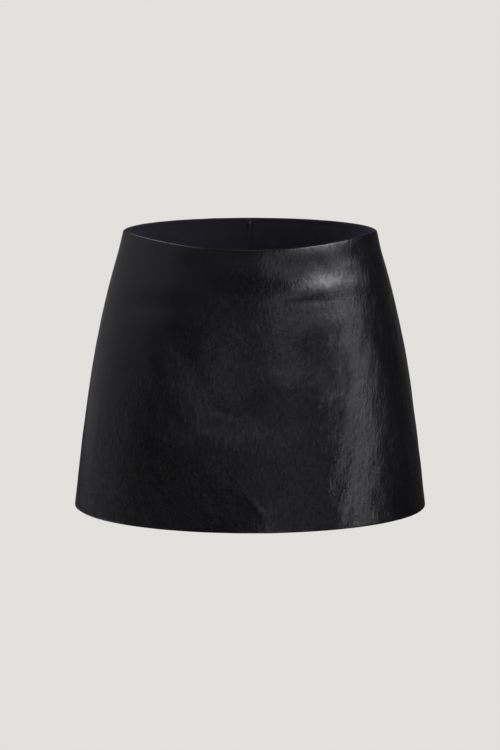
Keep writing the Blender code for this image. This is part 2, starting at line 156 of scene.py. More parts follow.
CREASES = (  # finer ones, which the solids leave out
    # the right of the picture: a dimple under the hip, and the light line beside the side seam
    Form(0.079, 0.171, 0.050, 0.026, -0.0005, 36),
    Form(0.028, 0.146, 0.050, 0.012, 0.00015, 79),
    Form(0.040, 0.0085, 0.090, 0.015, 0.0003, 90),
    Form(0.062, 0.0640, 0.070, 0.009, -0.00045, 92),
    Form(0.112, 0.030, 0.030, 0.016, 0.0005, 81),
    Form(0.191, 0.110, 0.080, 0.012, 0.0004, 18),
    Form(0.185, 0.252, 0.045, 0.008, 0.00035, 17),
    Form(0.168, 0.225, 0.060, 0.010, -0.00025, 12),
    # the left of the picture: long slanting wrinkles that open into a wide low swell
    Form(-0.080, 0.121, 0.026, 0.0045, 0.00018, 24),
    Form(-0.091, 0.152, 0.036, 0.0050, 0.00020, 35),
    Form(-0.068, 0.148, 0.040, 0.0055, 0.00015, 30),
    Form(-0.058, 0.174, 0.062, 0.012, 0.00055, 21),
    Form(-0.050, 0.189, 0.048, 0.006, 0.00020, 21),
    Form(-0.021, 0.190, 0.070, 0.022, -0.0005, 80),
    Form(-0.030, 0.214, 0.090, 0.030, 0.0012, 78),
    Form(-0.026, 0.054, 0.090, 0.016, -0.00025, 0),
    Form(-0.092, 0.222, 0.190, 0.014, -0.00030, 1),
    # by the middle of the hem
    Form(0.005, 0.214, 0.044, 0.006, 0.00034, 8),
    Form(0.004, 0.290, 0.036, 0.006, 0.00085, 29),
    Form(0.014, 0.308, 0.034, 0.007, 0.00095, 18),
    Form(-0.024, 0.306, 0.022, 0.006, 0.00015, 10),
    Form(0.072, 0.300, 0.040, 0.010, -0.00025, 8),
    # the back, which the photograph doesn't show, creased like the front
    Form(0.345, 0.048, 0.090, 0.020, 0.0009, 96),
    Form(0.352, 0.072, 0.080, 0.016, -0.0007, 94),
    Form(-0.350, 0.055, 0.080, 0.020, 0.0008, 84),
    Form(-0.345, 0.082, 0.090, 0.018, -0.0007, 86),
    Form(0.400, 0.150, 0.060, 0.012, 0.0004, 60),
    Form(-0.395, 0.165, 0.070, 0.012, 0.0004, -55),
    Form(0.290, 0.190, 0.110, 0.014, 0.0006, -16),
    Form(0.318, 0.205, 0.090, 0.012, -0.0005, -14),
    Form(-0.285, 0.175, 0.120, 0.016, 0.0006, 18),
    Form(-0.310, 0.200, 0.080, 0.010, -0.0004, 20),
    Form(0.385, 0.270, 0.070, 0.010, 0.0004, 12),
    Form(-0.400, 0.285, 0.060, 0.010, 0.0004, -14),
    Form(-0.205, 0.120, 0.100, 0.014, 0.0005, -20),
    Form(-0.190, 0.235, 0.090, 0.012, 0.0004, -10),
    Form(0.235, 0.150, 0.100, 0.014, 0.0005, 22),
)
# Low, slow unevenness all over, as a sum of waves that run mostly up and down.
UNEVEN_SEED = 11
UNEVEN_WAVES = 36
UNEVEN_HEIGHT = 0.00007
UNEVEN_ACROSS = (0.016, 0.050)  # wavelengths
UNEVEN_DOWN = (0.035, 0.130)
UNEVEN_FADE = 0.020  # from the centre back, where the two sides' waves wouldn't meet
# The front on the wearer's right is smoother than the rest, up to an edge that leans away from the
# middle.
SMOOTH_SHARE = 0.2
SMOOTH_EDGE = 0.010
SMOOTH_LEAN = 0.9
SMOOTH_BLEND = 0.030
SMOOTH_END = 0.230
# The zip's small ripples on both sides of the centre back seam.
RIPPLE_LENGTH = 0.019
RIPPLE_HEIGHT = 0.00022
RIPPLE_REACH = 0.011

# ---------------------------------------------------------------- fineness of the meshes
FRONT_COLUMNS = 250
BACK_COLUMNS = 128
SHORTS_COLUMNS = 64
OUTER_STEP = 0.0018
INNER_STEP = 0.0045
SHORTS_STEP = 0.0040
LEG_ROWS = 21
RISE_GATHER, LEG_GATHER = 1.6, 1.5  # how much closer the rows lie near the crotch
RISE_ROUNDS = 4  # a point's turn moves with the waist's dip, so it is found in rounds
SEAM_ROLL_COLUMNS = 4
ROUND_STEPS = 10
DIFFERENCE = 1e-4
SHARP_ANGLE = math.radians(50)

# ---------------------------------------------------------------- camera and studio
CAMERA_DISTANCE = 3.0
CAMERA_ELEVATION_DEG = 11.5
CAMERA_LENS_MM = 124.2
CAMERA_SENSOR_MM = 36.0
CAMERA_TARGET = Vector((0.0, 0.012, -0.1712))
FLOOR_HEIGHT = -1.6
FLOOR_RADIUS = 80.0
BACKDROP_SRGB = (226, 225, 221)
SURROUND = (0.043, 0.042, 0.045)  # what the garment sees all round, where no light is


# ---------------------------------------------------------------- smooth tables
def smooth_table(rows, drop):
    """The other columns of a table at these drops, on smooth curves through its rows."""
    table = np.array(rows, float)
    at, values = table[:, 0], table[:, 1:]
    slopes = np.empty_like(values)
    slopes[1:-1] = (values[2:] - values[:-2]) / (at[2:] - at[:-2])[:, None]
    slopes[0] = (values[1] - values[0]) / (at[1] - at[0])
    slopes[-1] = (values[-1] - values[-2]) / (at[-1] - at[-2])
    drop = np.asarray(drop, float)
    i = np.clip(np.searchsorted(at, drop, side="right") - 1, 0, len(at) - 2)
    span = (at[i + 1] - at[i])[..., None]
    t = np.clip((drop - at[i])[..., None] / span, 0, 1)
    result = (
        (2 * t**3 - 3 * t**2 + 1) * values[i]
        + (t**3 - 2 * t**2 + t) * span * slopes[i]
        + (3 * t**2 - 2 * t**3) * values[i + 1]
        + (t**3 - t**2) * span * slopes[i + 1]
    )
    return np.moveaxis(result, -1, 0)


def smooth_step(t):
    t = np.clip(t, 0.0, 1.0)
    return t * t * (3 - 2 * t)


def dipped(front, drop):
    fade = 1 - smooth_step(drop / WAIST_DIP_FADE)
    return drop + WAIST_DIP * np.maximum(front, 0.0) ** WAIST_DIP_POWER * fade


def half_oval(share, front_depth, back_depth, power):
    """The depth at this share of the way to the oval's front (1) or back (-1)."""
    return np.where(
        share > 0, -front_depth * np.maximum(share, 0.0) ** power, -back_depth * share
    )


# ---------------------------------------------------------------- surfaces
def mean_radius(drop):
    half_width, front_depth, back_depth, _ = smooth_table(SKIRT_SECTIONS, drop)
    return (2 * half_width + front_depth + back_depth) / 4


def relief(forms, angle, drop):
    """How far the forms of a table stand out of the bare surface."""
    total = np.zeros(np.broadcast(angle, drop).shape)
    radius = mean_radius(drop)
    for form in forms:
        offset = (angle - form.around / radius + math.pi) % (2 * math.pi) - math.pi
        across, down = offset * radius, drop - form.drop
        lean = math.radians(form.lean_deg)
        along = across * math.sin(lean) + down * math.cos(lean)
        aside = across * math.cos(lean) - down * math.sin(lean)
        fade = (2 * along / form.length) ** 2 + (2 * aside / form.width) ** 2
        total += form.height * np.exp(-fade)
    return total


def make_waves():
    random = np.random.default_rng(UNEVEN_SEED)
    across = 2 * math.pi / random.uniform(*UNEVEN_ACROSS, UNEVEN_WAVES)
    down = 2 * math.pi / random.uniform(*UNEVEN_DOWN, UNEVEN_WAVES)
    down *= random.choice((-1, 1), UNEVEN_WAVES)
    return np.stack((across, down, random.uniform(0, 2 * math.pi, UNEVEN_WAVES)), -1)


WAVES = make_waves()


def unevenness(angle, drop):
    radius = mean_radius(drop)
    around = angle * radius
    total = np.zeros(np.broadcast(angle, drop).shape)
    for across, down, phase in WAVES:
        total += np.cos(across * around + down * drop + phase)
    from_back = (math.pi - np.abs(angle)) * radius
    ripples = np.cos(2 * math.pi * drop / RIPPLE_LENGTH) * np.exp(-((from_back / RIPPLE_REACH) ** 2))
    beside_zip = smooth_step((ZIP_END_DROP - drop) / RIPPLE_LENGTH) * smooth_step(drop / RIPPLE_LENGTH)
    rough_side = smooth_step((around + SMOOTH_LEAN * drop - SMOOTH_EDGE) / SMOOTH_BLEND + 0.5)
    on_back = smooth_step((-SMOOTH_END - around) / SMOOTH_BLEND + 0.5)
    total *= SMOOTH_SHARE + (1 - SMOOTH_SHARE) * np.maximum(rough_side, on_back)
    uneven = total * math.sqrt(2 / UNEVEN_WAVES) * smooth_step(from_back / UNEVEN_FADE)
    return UNEVEN_HEIGHT * uneven + RIPPLE_HEIGHT * ripples * beside_zip


def bare_skirt(angle, drop):
    height = dipped(np.cos(angle), drop)
    half_width, front_depth, back_depth, power = smooth_table(SKIRT_SECTIONS, height)
    depth = half_oval(np.cos(angle), front_depth, back_depth, power)
    return np.stack((half_width * np.sin(angle), depth, -height), -1)


def skirt_surface(angle, drop):
    height = relief(SWELLS + CREASES, angle, drop) + unevenness(angle, drop)
    return bare_skirt(angle, drop) + normal_at(bare_skirt, angle, drop) * height[..., None]


def leg_section(drop):
    half_width, skirt_front, skirt_back, power = smooth_table(SKIRT_SECTIONS, drop)
    side, front, back = smooth_table(SHORTS_INSETS, drop)
    outside = half_width - side
    above = outside / (1 + (drop / CROTCH_DROP) ** RISE_POWER)
    t = np.clip((drop - CROTCH_DROP) / (SHORTS_HEM_DROP - CROTCH_DROP), 0, 1)
    inseam = HALF_SEAM + INSEAM_STANDOFF * np.sqrt(1 - (1 - t) ** 2)
    leg_half_width = np.where(drop < CROTCH_DROP, above, (outside - inseam) / 2)
    narrower = leg_half_width / outside
    front_depth = (skirt_front - front) * narrower ** (power / 2)
    back_depth = (skirt_back - back) * narrower ** (1 / 2)
    return outside - leg_half_width, leg_half_width, front_depth, back_depth, power


def leg_surface(turn, drop):
    """The left leg: a turn runs from the inseam (0) over the front, the side and the back."""
    height = dipped(np.sin(turn), drop)
    centre, half_width, front_depth, back_depth, power = leg_section(height)
    depth = half_oval(np.sin(turn), front_depth, back_depth, power)
    return np.stack((centre - half_width * np.cos(turn), depth, -height), -1)


def normal_at(surface, angle, drop):
    around = surface(angle + DIFFERENCE, drop) - surface(angle - DIFFERENCE, drop)
    down = surface(angle, drop + DIFFERENCE) - surface(angle, np.maximum(drop - DIFFERENCE, 0))
    normal = np.cross(down, around)
    return normal / np.linalg.norm(normal, axis=-1, keepdims=True)


# ---------------------------------------------------------------- panel edges
def seam_share(depth_and_power, back):
    front_depth, back_depth, power = depth_and_power
    return HALF_SEAM / back_depth if back else (HALF_SEAM / front_depth) ** (1 / power)


def side_seam_angle(drop, back):
    away = seam_share(smooth_table(SKIRT_SECTIONS, drop)[1:], back)
    return math.pi / 2 + (away if back else -away)


def centre_back_angle(drop):
    half_width = smooth_table(SKIRT_SECTIONS, drop)[0]
    beyond = np.abs(drop - SLIDER_DROP) - NECK_CLEAR
    parted = 1 - smooth_step(beyond / NECK_SHOULDER)
    half_gap = HALF_SEAM + (NECK_OPENING - HALF_SEAM) * parted
    return math.pi - half_gap / half_width


def zip_half_gap(drop):
    closed = smooth_step((drop - ZIP_END_DROP) / ZIP_END_CLOSE)
    return ZIP_SLOT + (HALF_SEAM - ZIP_SLOT) * closed


def rise_turn(drop, half_gap, back):
    turn = np.full(np.shape(drop), math.pi / 2)
    for _ in range(RISE_ROUNDS):
        height = drop if back else dipped(np.sin(turn), drop)
        centre, half_width, *depth_and_power = leg_section(height)
        cosine = np.minimum((centre - half_gap) / half_width, 1.0)
        turn = np.maximum(np.arccos(cosine), seam_share(depth_and_power, back))
    return 2 * math.pi - turn if back else turn


def side_turn(drop, back):
    away = seam_share(leg_section(drop)[2:], back)
    return math.pi + (away if back else -away)


# ---------------------------------------------------------------- panels
def evenly(start, end, step):
    return list(np.linspace(start, end, max(round(abs(end - start) / step), 1) + 1))


def half_turn(drop, inward, radius, over_the_top):
    """A fold of the cloth, from its outer side to its inner side, as (drop, inward) points."""
    points = []
    for i in range(1, ROUND_STEPS):
        a = math.pi * i / ROUND_STEPS
        down = -radius * math.sin(a) if over_the_top else radius * math.sin(a)
        points.append((drop + down, inward - radius * math.cos(a)))
    return points


def skirt_profile():
    """The wall's section, closed: down the outer face, round the hem and up the inner face."""
    roll, hem = ROLL_THICKNESS / 2, HEM_THICKNESS / 2
    turned = HEM_DROP - HEM_TURN
    profile = [(drop, 0.0) for drop in evenly(roll, HEM_DROP - hem, OUTER_STEP)]
    profile += half_turn(HEM_DROP - hem, hem, hem, False)
    profile += [(drop, HEM_THICKNESS) for drop in evenly(HEM_DROP - hem, turned, INNER_STEP)]
    up = evenly(turned - STEP_LENGTH, ROLL_END_DROP + STEP_LENGTH, INNER_STEP)
    profile += [(drop, LEATHER) for drop in up]
    profile += [(drop, ROLL_THICKNESS) for drop in evenly(ROLL_END_DROP, roll, STEP_LENGTH)]
    profile += reversed(half_turn(roll, roll, roll, True))
    return profile


def shorts_profile():
    round_off = LINING / 2
    top, hem = SHORTS_TOP_DROP + round_off, SHORTS_HEM_DROP - round_off
    shares = 1 - (1 - np.linspace(0, 1, round((CROTCH_DROP - top) / SHORTS_STEP))) ** RISE_GATHER
    rise = list(top + (CROTCH_DROP - top) * shares)
    leg = list(CROTCH_DROP + (hem - CROTCH_DROP) * np.linspace(0, 1, LEG_ROWS + 1)[1:] ** LEG_GATHER)
    down = rise + leg
    profile = [(drop, 0.0) for drop in down]
    profile += half_turn(hem, round_off, round_off, False)
    profile += [(drop, LINING) for drop in reversed(down)]
    profile += reversed(half_turn(top, round_off, round_off, True))
    return profile


def across_shares(columns, roll):
    """Even steps across a panel, with closer ones where its seam edges turn in."""
    ends = roll * (1 - np.cos(np.linspace(0, math.pi / 2, SEAM_ROLL_COLUMNS + 1)))
    middle = np.linspace(roll, 1 - roll, columns + 1)
    return np.concatenate((ends[:-1], middle, 1 - ends[:-1][::-1]))


def seam_sink(distance, radius):
    """How far a face has turned in at this distance from a seam's edge."""
    missing = np.maximum(radius - distance, 0.0)
    return radius - np.sqrt(np.maximum(radius**2 - missing**2, 0.0))


# Metres along the cloth that each panel was cut from, so that no two have the same grain.
MAP_SHIFT = {
    "skirt_back_left_cloth": 0.6,
    "skirt_back_right_cloth": 1.1,
    "shorts_front_right_cloth": 0.5,
    "shorts_back_left_cloth": 1.0,
    "shorts_back_right_cloth": 1.5,
}


def make_panel(name, surface, edges, columns, profile, rolls, mirrored=False, lined=None):
    """One cut piece: its section swept from seam to seam and closed at both. A test of the drop and
    the distance inward says where its second finish is."""
    drop = np.array([p[0] for p in profile])[:, None]
    inward = np.array([p[1] for p in profile])[:, None]
    start, end = edges[0](drop), edges[1](drop)
    middle = surface((start + end) / 2, drop)
    lengths = np.linalg.norm(surface(end, drop) - middle, axis=-1)
    shares = across_shares(columns, max(rolls) / (2 * float(lengths.mean())))[None, :]
    angle = start + (end - start) * shares
    outer = surface(angle, drop + 0 * angle)
    step = np.linalg.norm(np.diff(outer, axis=1), axis=-1)
    along = np.concatenate((np.zeros((len(profile), 1)), np.cumsum(step, axis=1)), axis=1)
    from_seam = np.minimum(along, along[:, -1:] - along)
    outside = inward < LEATHER / 2
    depth = inward + np.where(outside, seam_sink(from_seam, rolls[0]), -seam_sink(from_seam, rolls[1]))
    points = outer - normal_at(surface, angle, drop + 0 * angle) * depth[..., None]
    for side in (0, -1):  # a seam's edge stays in the seam's plane, which is x or y close to 0
        keep = abs(outer[:, side]).argmin(-1)
        points[np.arange(len(profile)), side, keep] = outer[np.arange(len(profile)), side, keep]
    if mirrored:
        points[..., 0] *= -1
    obj = grid_object(name, points, drop[:, 0].tolist(), mirrored != (end.mean() < start.mean()))
    add_cloth_map(obj, along - along[:, -1:] / 2 + MAP_SHIFT.get(name, 0.0), drop + 0 * along)
    if lined is not None:
        second = np.zeros(len(obj.data.polygons), int)
        second[: len(profile) * (shares.size - 1)] = np.repeat(lined(drop, inward)[:, 0], shares.size - 1)
        obj.data.polygons.foreach_set("material_index", second)
    return obj


def strip_across(ring, drops):
    """Triangles that close a thin loop, from its top down, between its outer and inner chains."""
    faces = []
    i, j = 0, len(ring) - 1
    while j - i > 1:
        if drops[i + 1] <= drops[j - 1]:
            faces.append([ring[i], ring[j], ring[i + 1]])
            i += 1
        else:
            faces.append([ring[i], ring[j], ring[j - 1]])
            j -= 1
    return faces


def new_object(name, points, faces):
    mesh = bpy.data.meshes.new(name)
    mesh.from_pydata(points, [], faces)
    mesh.shade_smooth()
    mesh.set_sharp_from_angle(angle=SHARP_ANGLE)
    obj = bpy.data.objects.new(name, mesh)
    bpy.context.scene.collection.objects.link(obj)
    return obj


def grid_object(name, points, drops, flip):
    """A tube over closed rows of points, with its two ends closed."""
    rows, columns = points.shape[:2]
    index = np.arange(rows * columns).reshape(rows, columns)
    nxt = np.roll(index, -1, axis=0)
    quads = np.stack((index[:, :-1], nxt[:, :-1], nxt[:, 1:], index[:, 1:]), -1).reshape(-1, 4)
    start, end = strip_across(index[:, 0].tolist(), drops), strip_across(index[:, -1].tolist(), drops)
    faces = quads.tolist() + start + [face[::-1] for face in end]
    if flip:
        faces = [face[::-1] for face in faces]
    return new_object(name, points.reshape(-1, 3).tolist(), faces)


def strands(name, centres, first, second):
    """Closed round strands, a row of centres each, whose rings are spanned by two half axes."""
    turn = np.arange(STRAND_SIDES) * 2 * math.pi / STRAND_SIDES
    points = (
        centres[:, :, None]
        + first[:, :, None] * np.cos(turn)[:, None]
        + second[:, :, None] * np.sin(turn)[:, None]
    )
    index = np.arange(points[..., 0].size).reshape(points.shape[:3])
    nxt = np.roll(index, -1, axis=2)
    quads = np.stack((index[:, :-1], nxt[:, :-1], nxt[:, 1:], index[:, 1:]), -1).reshape(-1, 4)
    ends = index[:, 0, ::-1].tolist() + index[:, -1].tolist()
    return new_object(name, points.reshape(-1, 3).tolist(), quads.tolist() + ends)


def add_cloth_map(obj, across, down):
    """A map in metres of cloth: across from the panel's middle, and down from the waist."""
    layer = obj.data.uv_layers.new(name="cloth")
    corners = np.empty(len(obj.data.loops), int)
    obj.data.loops.foreach_get("vertex_index", corners)
    flat = np.stack((across.ravel(), -down.ravel()), -1)
    layer.data.foreach_set("uv", flat[corners].ravel())


# ---------------------------------------------------------------- node helpers
class Nodes:
    """A short way to write a material's nodes."""

    def __init__(self, name):
        self.material = bpy.data.materials.new(name)
        self.material.use_nodes = True
        self.tree = self.material.node_tree
        self.shader = self.tree.nodes["Principled BSDF"]

    def add(self, kind, inputs=None, **settings):
        node = self.tree.nodes.new(kind)
        for key, value in settings.items():
            setattr(node, key, value)
        for key, value in (inputs or {}).items():
            if isinstance(value, bpy.types.NodeSocket):
                self.tree.links.new(value, node.inputs[key])
            else:
                node.inputs[key].default_value = value
        return node

    def cloth(self):
        return self.add("ShaderNodeUVMap", uv_map="cloth").outputs["UV"]

    def place(self):
        return self.add("ShaderNodeTexCoord").outputs["Object"]

    def math(self, operation, a, b):
        return self.add("ShaderNodeMath", {0: a, 1: b}, operation=operation).outputs[0]

    def noise(self, vector, scale, detail=2.0, roughness=0.5, distortion=0.0):
        inputs = {"Vector": vector, "Scale": scale, "Detail": detail}
        inputs |= {"Roughness": roughness, "Distortion": distortion}
        return self.add("ShaderNodeTexNoise", inputs).outputs["Fac"]

    def wander(self, cloth, drift):
        """A slow drift to both sides of 0, which makes an edge uneven."""
        noise = self.noise(cloth, drift.scale, drift.detail, drift.roughness)
        return self.math("MULTIPLY", self.math("SUBTRACT", noise, 0.5), drift.reach)

    def grain(self, cloth, grain):
        """A noise drawn out along the cloth."""
        inputs = {"Vector": cloth, "Scale": (grain.across, grain.down, 1.0)}
        inputs["Rotation"] = (0, 0, math.radians(grain.lean_deg))
        drawn_out = self.add("ShaderNodeMapping", inputs).outputs["Vector"]
        return self.noise(drawn_out, 1.0, grain.detail, grain.roughness, grain.distortion)

    def spread(self, value, span, to=(0.0, 1.0), smooth=False):
        """The value with one span of it moved to another."""
        inputs = {"Value": value, "From Min": span[0], "From Max": span[1]}
        inputs |= {"To Min": to[0], "To Max": to[1]}
        node = self.add("ShaderNodeMapRange", inputs)
        if smooth:
            node.interpolation_type = "SMOOTHSTEP"
        return node.outputs["Result"]

    def tint(self, colour, tone):
        scaled = self.add("ShaderNodeVectorMath", {0: colour, "Scale": tone}, operation="SCALE")
        self.link(scaled.outputs["Vector"], "Base Color")

    def bump(self, height, distance, strength, below=None):
        inputs = {"Height": height, "Distance": distance, "Strength": strength}
        if below is not None:
            inputs["Normal"] = below
        return self.add("ShaderNodeBump", inputs).outputs["Normal"]

    def link(self, value, socket):
        self.tree.links.new(value, self.shader.inputs[socket])


# ---------------------------------------------------------------- leather
LEATHER_BLACK = (0.0034, 0.0033, 0.0039)
LEATHER_IOR = 1.5
# Noises drawn out along the cloth, in waves for each metre across and down, each with the height
# of its bumps.
Grain = namedtuple("Grain", "across down lean_deg detail roughness distortion height")
LONG_CRINKLES = Grain(120.0, 34.0, 6.0, 2.0, 0.5, 0.0, 0.00034)
CRINKLES = Grain(300.0, 125.0, -5.0, 2.0, 0.6, 0.1, 0.00045)
FINE_GRAIN = Grain(600.0, 360.0, 9.0, 2.0, 0.6, 0.2, 0.00012)
STREAKS = Grain(170.0, 34.0, 24.0, 2.5, 0.55, 0.0, 0.00022)
PEBBLES, PEBBLE_HEIGHT, PEBBLE_STRENGTH = 1400.0, 0.000014, 0.5
FINE_SHARE = 0.35  # of the grain that shows as tone, beside the crinkles
HOLLOW_TO_TOP = (0.36, 0.64)  # the grain's own range
GRAIN_SHADE_AND_HIGHLIGHT_TONE = (-0.5, 1.3)  # painted shade: what the hollows lose of the black's tone; painted highlight: what the tops gain
GRAIN_SHADE_AND_GLINT_GLOSS = (-0.16, 0.16)  # the same for the gloss, around its usual value: painted shade dims the hollows' reflection, a painted glint lifts the tops'
MIDDLE_GLOSS, LEAST_GLOSS_CHANGE = 0.5, 0.2
STREAK_RANGE = (0.40, 0.68)
CREASED_HAZE_AND_HIGHLIGHT, STREAK_HAZE_AND_HIGHLIGHT = 1.3, 2.6  # how much paler creased leather is, and its streaks: partly haze, partly painted highlight of the light its crinkles catch
CREASED_GRAIN = -0.1  # the change in the grain's strength where the leather has creased
GRAIN_SIDES = (0.10, 0.62)  # how strong the grain is on the smooth side and on the rough one
SIDES_EDGE = (-0.012, 0.012)
CLOUDS, CLOUD_DETAIL, CLOUD_ROUGHNESS = 40.0, 3.0, 0.55
CLOUD_RANGE, LEATHER_ROUGHNESS = (0.3, 0.7), (0.21, 0.26)
HAZE_ROUGHNESS = 0.03
# Slow noises that make an edge uneven, by up to half their reach to both sides.
Drift = namedtuple("Drift", "scale detail roughness reach")
CREASE_DRIFT = Drift(46.0, 3.0, 0.6, 1.2)
SIDES_DRIFT = Drift(18.0, 2.0, 0.5, 0.06)

# Where the leather has creased most: soft ovals on the cloth, placed and leaning as the forms are.
Patch = namedtuple("Patch", "around drop length width lean_deg strength")
CREASED_PATCHES = (
    Patch(-0.070, 0.168, 0.130, 0.046, 27, 1.0),
    Patch(-0.028, 0.212, 0.140, 0.064, 80, 1.0),
    Patch(0.006, 0.250, 0.110, 0.044, 20, 0.25),
    Patch(0.040, 0.136, 0.110, 0.040, 80, 0.15),
    Patch(0.020, 0.306, 0.060, 0.034, 30, 0.6),
)
PATCH_FADE = (1.5, 0.05)  # from nothing to full strength, in shares of the way out of an oval


def crease_mask(n, cloth):
    """How creased the leather is, from 0 to 1, with uneven edges."""
    wander = n.wander(cloth, CREASE_DRIFT)
    total = None
    for patch in CREASED_PATCHES:
        inputs = {"Vector": cloth, "Location": (patch.around, -patch.drop, 0.0)}
        inputs["Rotation"] = (0.0, 0.0, math.radians(patch.lean_deg))
        inputs["Scale"] = (patch.width / 2, patch.length / 2, 1.0)
        local = n.add("ShaderNodeMapping", inputs, vector_type="TEXTURE").outputs["Vector"]
        away = n.add("ShaderNodeVectorMath", {0: local}, operation="LENGTH").outputs["Value"]
        inside = n.spread(n.math("ADD", away, wander), PATCH_FADE, (0.0, patch.strength), smooth=True)
        total = inside if total is None else n.math("MAXIMUM", total, inside)
    return total


def rough_side(n, cloth):
    """How strong the grain is: the upper front on the wearer's right is smoother."""
    place = n.add("ShaderNodeSeparateXYZ", {0: cloth}).outputs
    edge = n.math("SUBTRACT", n.math("MULTIPLY", place["Y"], -SMOOTH_LEAN), SMOOTH_EDGE)
    beyond = n.math("ADD", n.math("ADD", place["X"], edge), n.wander(cloth, SIDES_DRIFT))
    return n.spread(beyond, SIDES_EDGE, GRAIN_SIDES, smooth=True)


def leather_material():
    """Black coated cloth: a fine pebble grain, crinkles that run up and down, and paler streaks where it has
    creased, partly haze and partly painted highlight. The grain's tone carries painted shade and highlight."""
    n = Nodes("faux_leather_fine")
    n.shader.inputs["IOR"].default_value = LEATHER_IOR
    cloth = n.cloth()
    creased = crease_mask(n, cloth)
    amount = n.math("ADD", rough_side(n, cloth), n.math("MULTIPLY", creased, CREASED_GRAIN))
    crinkles, fine = n.grain(cloth, CRINKLES), n.grain(cloth, FINE_GRAIN)
    streaks = n.spread(n.grain(cloth, STREAKS), STREAK_RANGE)
    # The grain's hollows are painted a little blacker, as shade, and its tops a little paler, as highlight.
    coarse_part = n.math("MULTIPLY", crinkles, 1 - FINE_SHARE)
    grain = n.math("ADD", coarse_part, n.math("MULTIPLY", fine, FINE_SHARE))
    grain_shade_and_highlight = n.math("MULTIPLY", n.spread(grain, HOLLOW_TO_TOP, GRAIN_SHADE_AND_HIGHLIGHT_TONE), amount)
    # Creased patches and their streaks are paler: partly the haze of creased coating, partly a painted
    # highlight for the light their crinkles would catch.
    paler_and_lit = n.math("ADD", CREASED_HAZE_AND_HIGHLIGHT, n.math("MULTIPLY", streaks, STREAK_HAZE_AND_HIGHLIGHT))
    haze_and_highlight = n.math("MULTIPLY", creased, paler_and_lit)
    n.tint(LEATHER_BLACK, n.math("MULTIPLY", n.math("ADD", grain_shade_and_highlight, 1.0), n.math("ADD", haze_and_highlight, 1.0)))
    # The gloss follows the grain too: painted shade in the hollows' reflection, a painted glint on the tops.
    change = n.math("ADD", amount, LEAST_GLOSS_CHANGE)
    gloss = n.math("MULTIPLY", n.spread(grain, HOLLOW_TO_TOP, GRAIN_SHADE_AND_GLINT_GLOSS), change)
    n.link(n.math("ADD", gloss, MIDDLE_GLOSS), "Specular IOR Level")
    clouds = n.noise(cloth, CLOUDS, CLOUD_DETAIL, CLOUD_ROUGHNESS)
    roughness = n.spread(clouds, CLOUD_RANGE, LEATHER_ROUGHNESS)
    n.link(n.math("ADD", roughness, n.math("MULTIPLY", haze_and_highlight, HAZE_ROUGHNESS)), "Roughness")
    normal = n.bump(n.grain(cloth, LONG_CRINKLES), LONG_CRINKLES.height, amount)
    normal = n.bump(crinkles, CRINKLES.height, amount, normal)
    normal = n.bump(fine, FINE_GRAIN.height, amount, normal)
    normal = n.bump(streaks, STREAKS.height, creased, normal)
    pebbles = n.noise(cloth, PEBBLES)
    n.link(n.bump(pebbles, PEBBLE_HEIGHT, PEBBLE_STRENGTH, normal), "Normal")
    return n.material


# ---------------------------------------------------------------- cloth, thread and zip
WAVE_PERIOD = math.pi / 10  # of Blender's wave texture at a scale of 1
SHORTS_BLACK, SHORTS_THREADS = (0.031, 0.0295, 0.040), 2600.0
BACKING_BLACK, BACKING_THREADS = (0.030, 0.0285, 0.039), 1900.0
WEAVE_DEPTH, WEAVE_STRENGTH, WEAVE_DISTORTION = 0.0001, 0.5, 0.4
WEAVE_TONE = (0.8, 1.15)
UNEVEN_PATCHES, UNEVEN_DETAIL, UNEVEN_TONE = 60.0, 3.0, (0.85, 1.15)
NOISE_RANGE = (0.3, 0.7)
THREAD_BLACK = (0.020, 0.019, 0.024, 1.0)
FIBRES, FIBRE_DETAIL, FIBRE_DEPTH, FIBRE_STRENGTH = 9000.0, 1.0, 0.00003, 0.6
COIL_BLACK = (0.060, 0.057, 0.074, 1.0)
METAL_BLACK = (0.050, 0.048, 0.060, 1.0)


def woven(name, colour, threads):
    """Matt black cloth, this many threads to the metre both ways."""
    n = Nodes(name)
    shader = n.shader.inputs
    shader["Roughness"].default_value = 0.9
    shader["Specular IOR Level"].default_value = 0.25
    shader["Sheen Weight"].default_value = 0.2
    shader["Sheen Roughness"].default_value = 0.5
    shader["Sheen Tint"].default_value = (0.78, 0.74, 1.0, 1.0)
    cloth = n.cloth()
    ways = []
    for bands in ("X", "Y"):
        inputs = {"Vector": cloth, "Scale": threads * WAVE_PERIOD, "Distortion": WEAVE_DISTORTION}
        ways.append(n.add("ShaderNodeTexWave", inputs, bands_direction=bands).outputs["Fac"])
    weave = n.math("MULTIPLY", *ways)
    uneven = n.spread(n.noise(cloth, UNEVEN_PATCHES, UNEVEN_DETAIL), NOISE_RANGE, UNEVEN_TONE)
    n.tint(colour, n.math("MULTIPLY", n.spread(weave, (0.0, 1.0), WEAVE_TONE), uneven))
    n.link(n.bump(weave, WEAVE_DEPTH, WEAVE_STRENGTH), "Normal")
    return n.material


def thread_material():
    n = Nodes("sewing_thread")
    n.shader.inputs["Base Color"].default_value = THREAD_BLACK
    n.shader.inputs["Roughness"].default_value = 0.55
    fibres = n.noise(n.place(), FIBRES, FIBRE_DETAIL)
    n.link(n.bump(fibres, FIBRE_DEPTH, FIBRE_STRENGTH), "Normal")
    return n.material


def satin_material(name, colour, metallic, speckles, roughness):
    """A small hard part's finish, with a roughness that varies a little."""
    n = Nodes(name)
    n.shader.inputs["Base Color"].default_value = colour
    n.shader.inputs["Metallic"].default_value = metallic
    n.link(n.spread(n.noise(n.place(), speckles), NOISE_RANGE, roughness), "Roughness")
    return n.material


# ---------------------------------------------------------------- studio
def from_srgb(values):
    channels = [v / 255 for v in values]
    return [c / 12.92 if c <= 0.04045 else ((c + 0.055) / 1.055) ** 2.4 for c in channels]


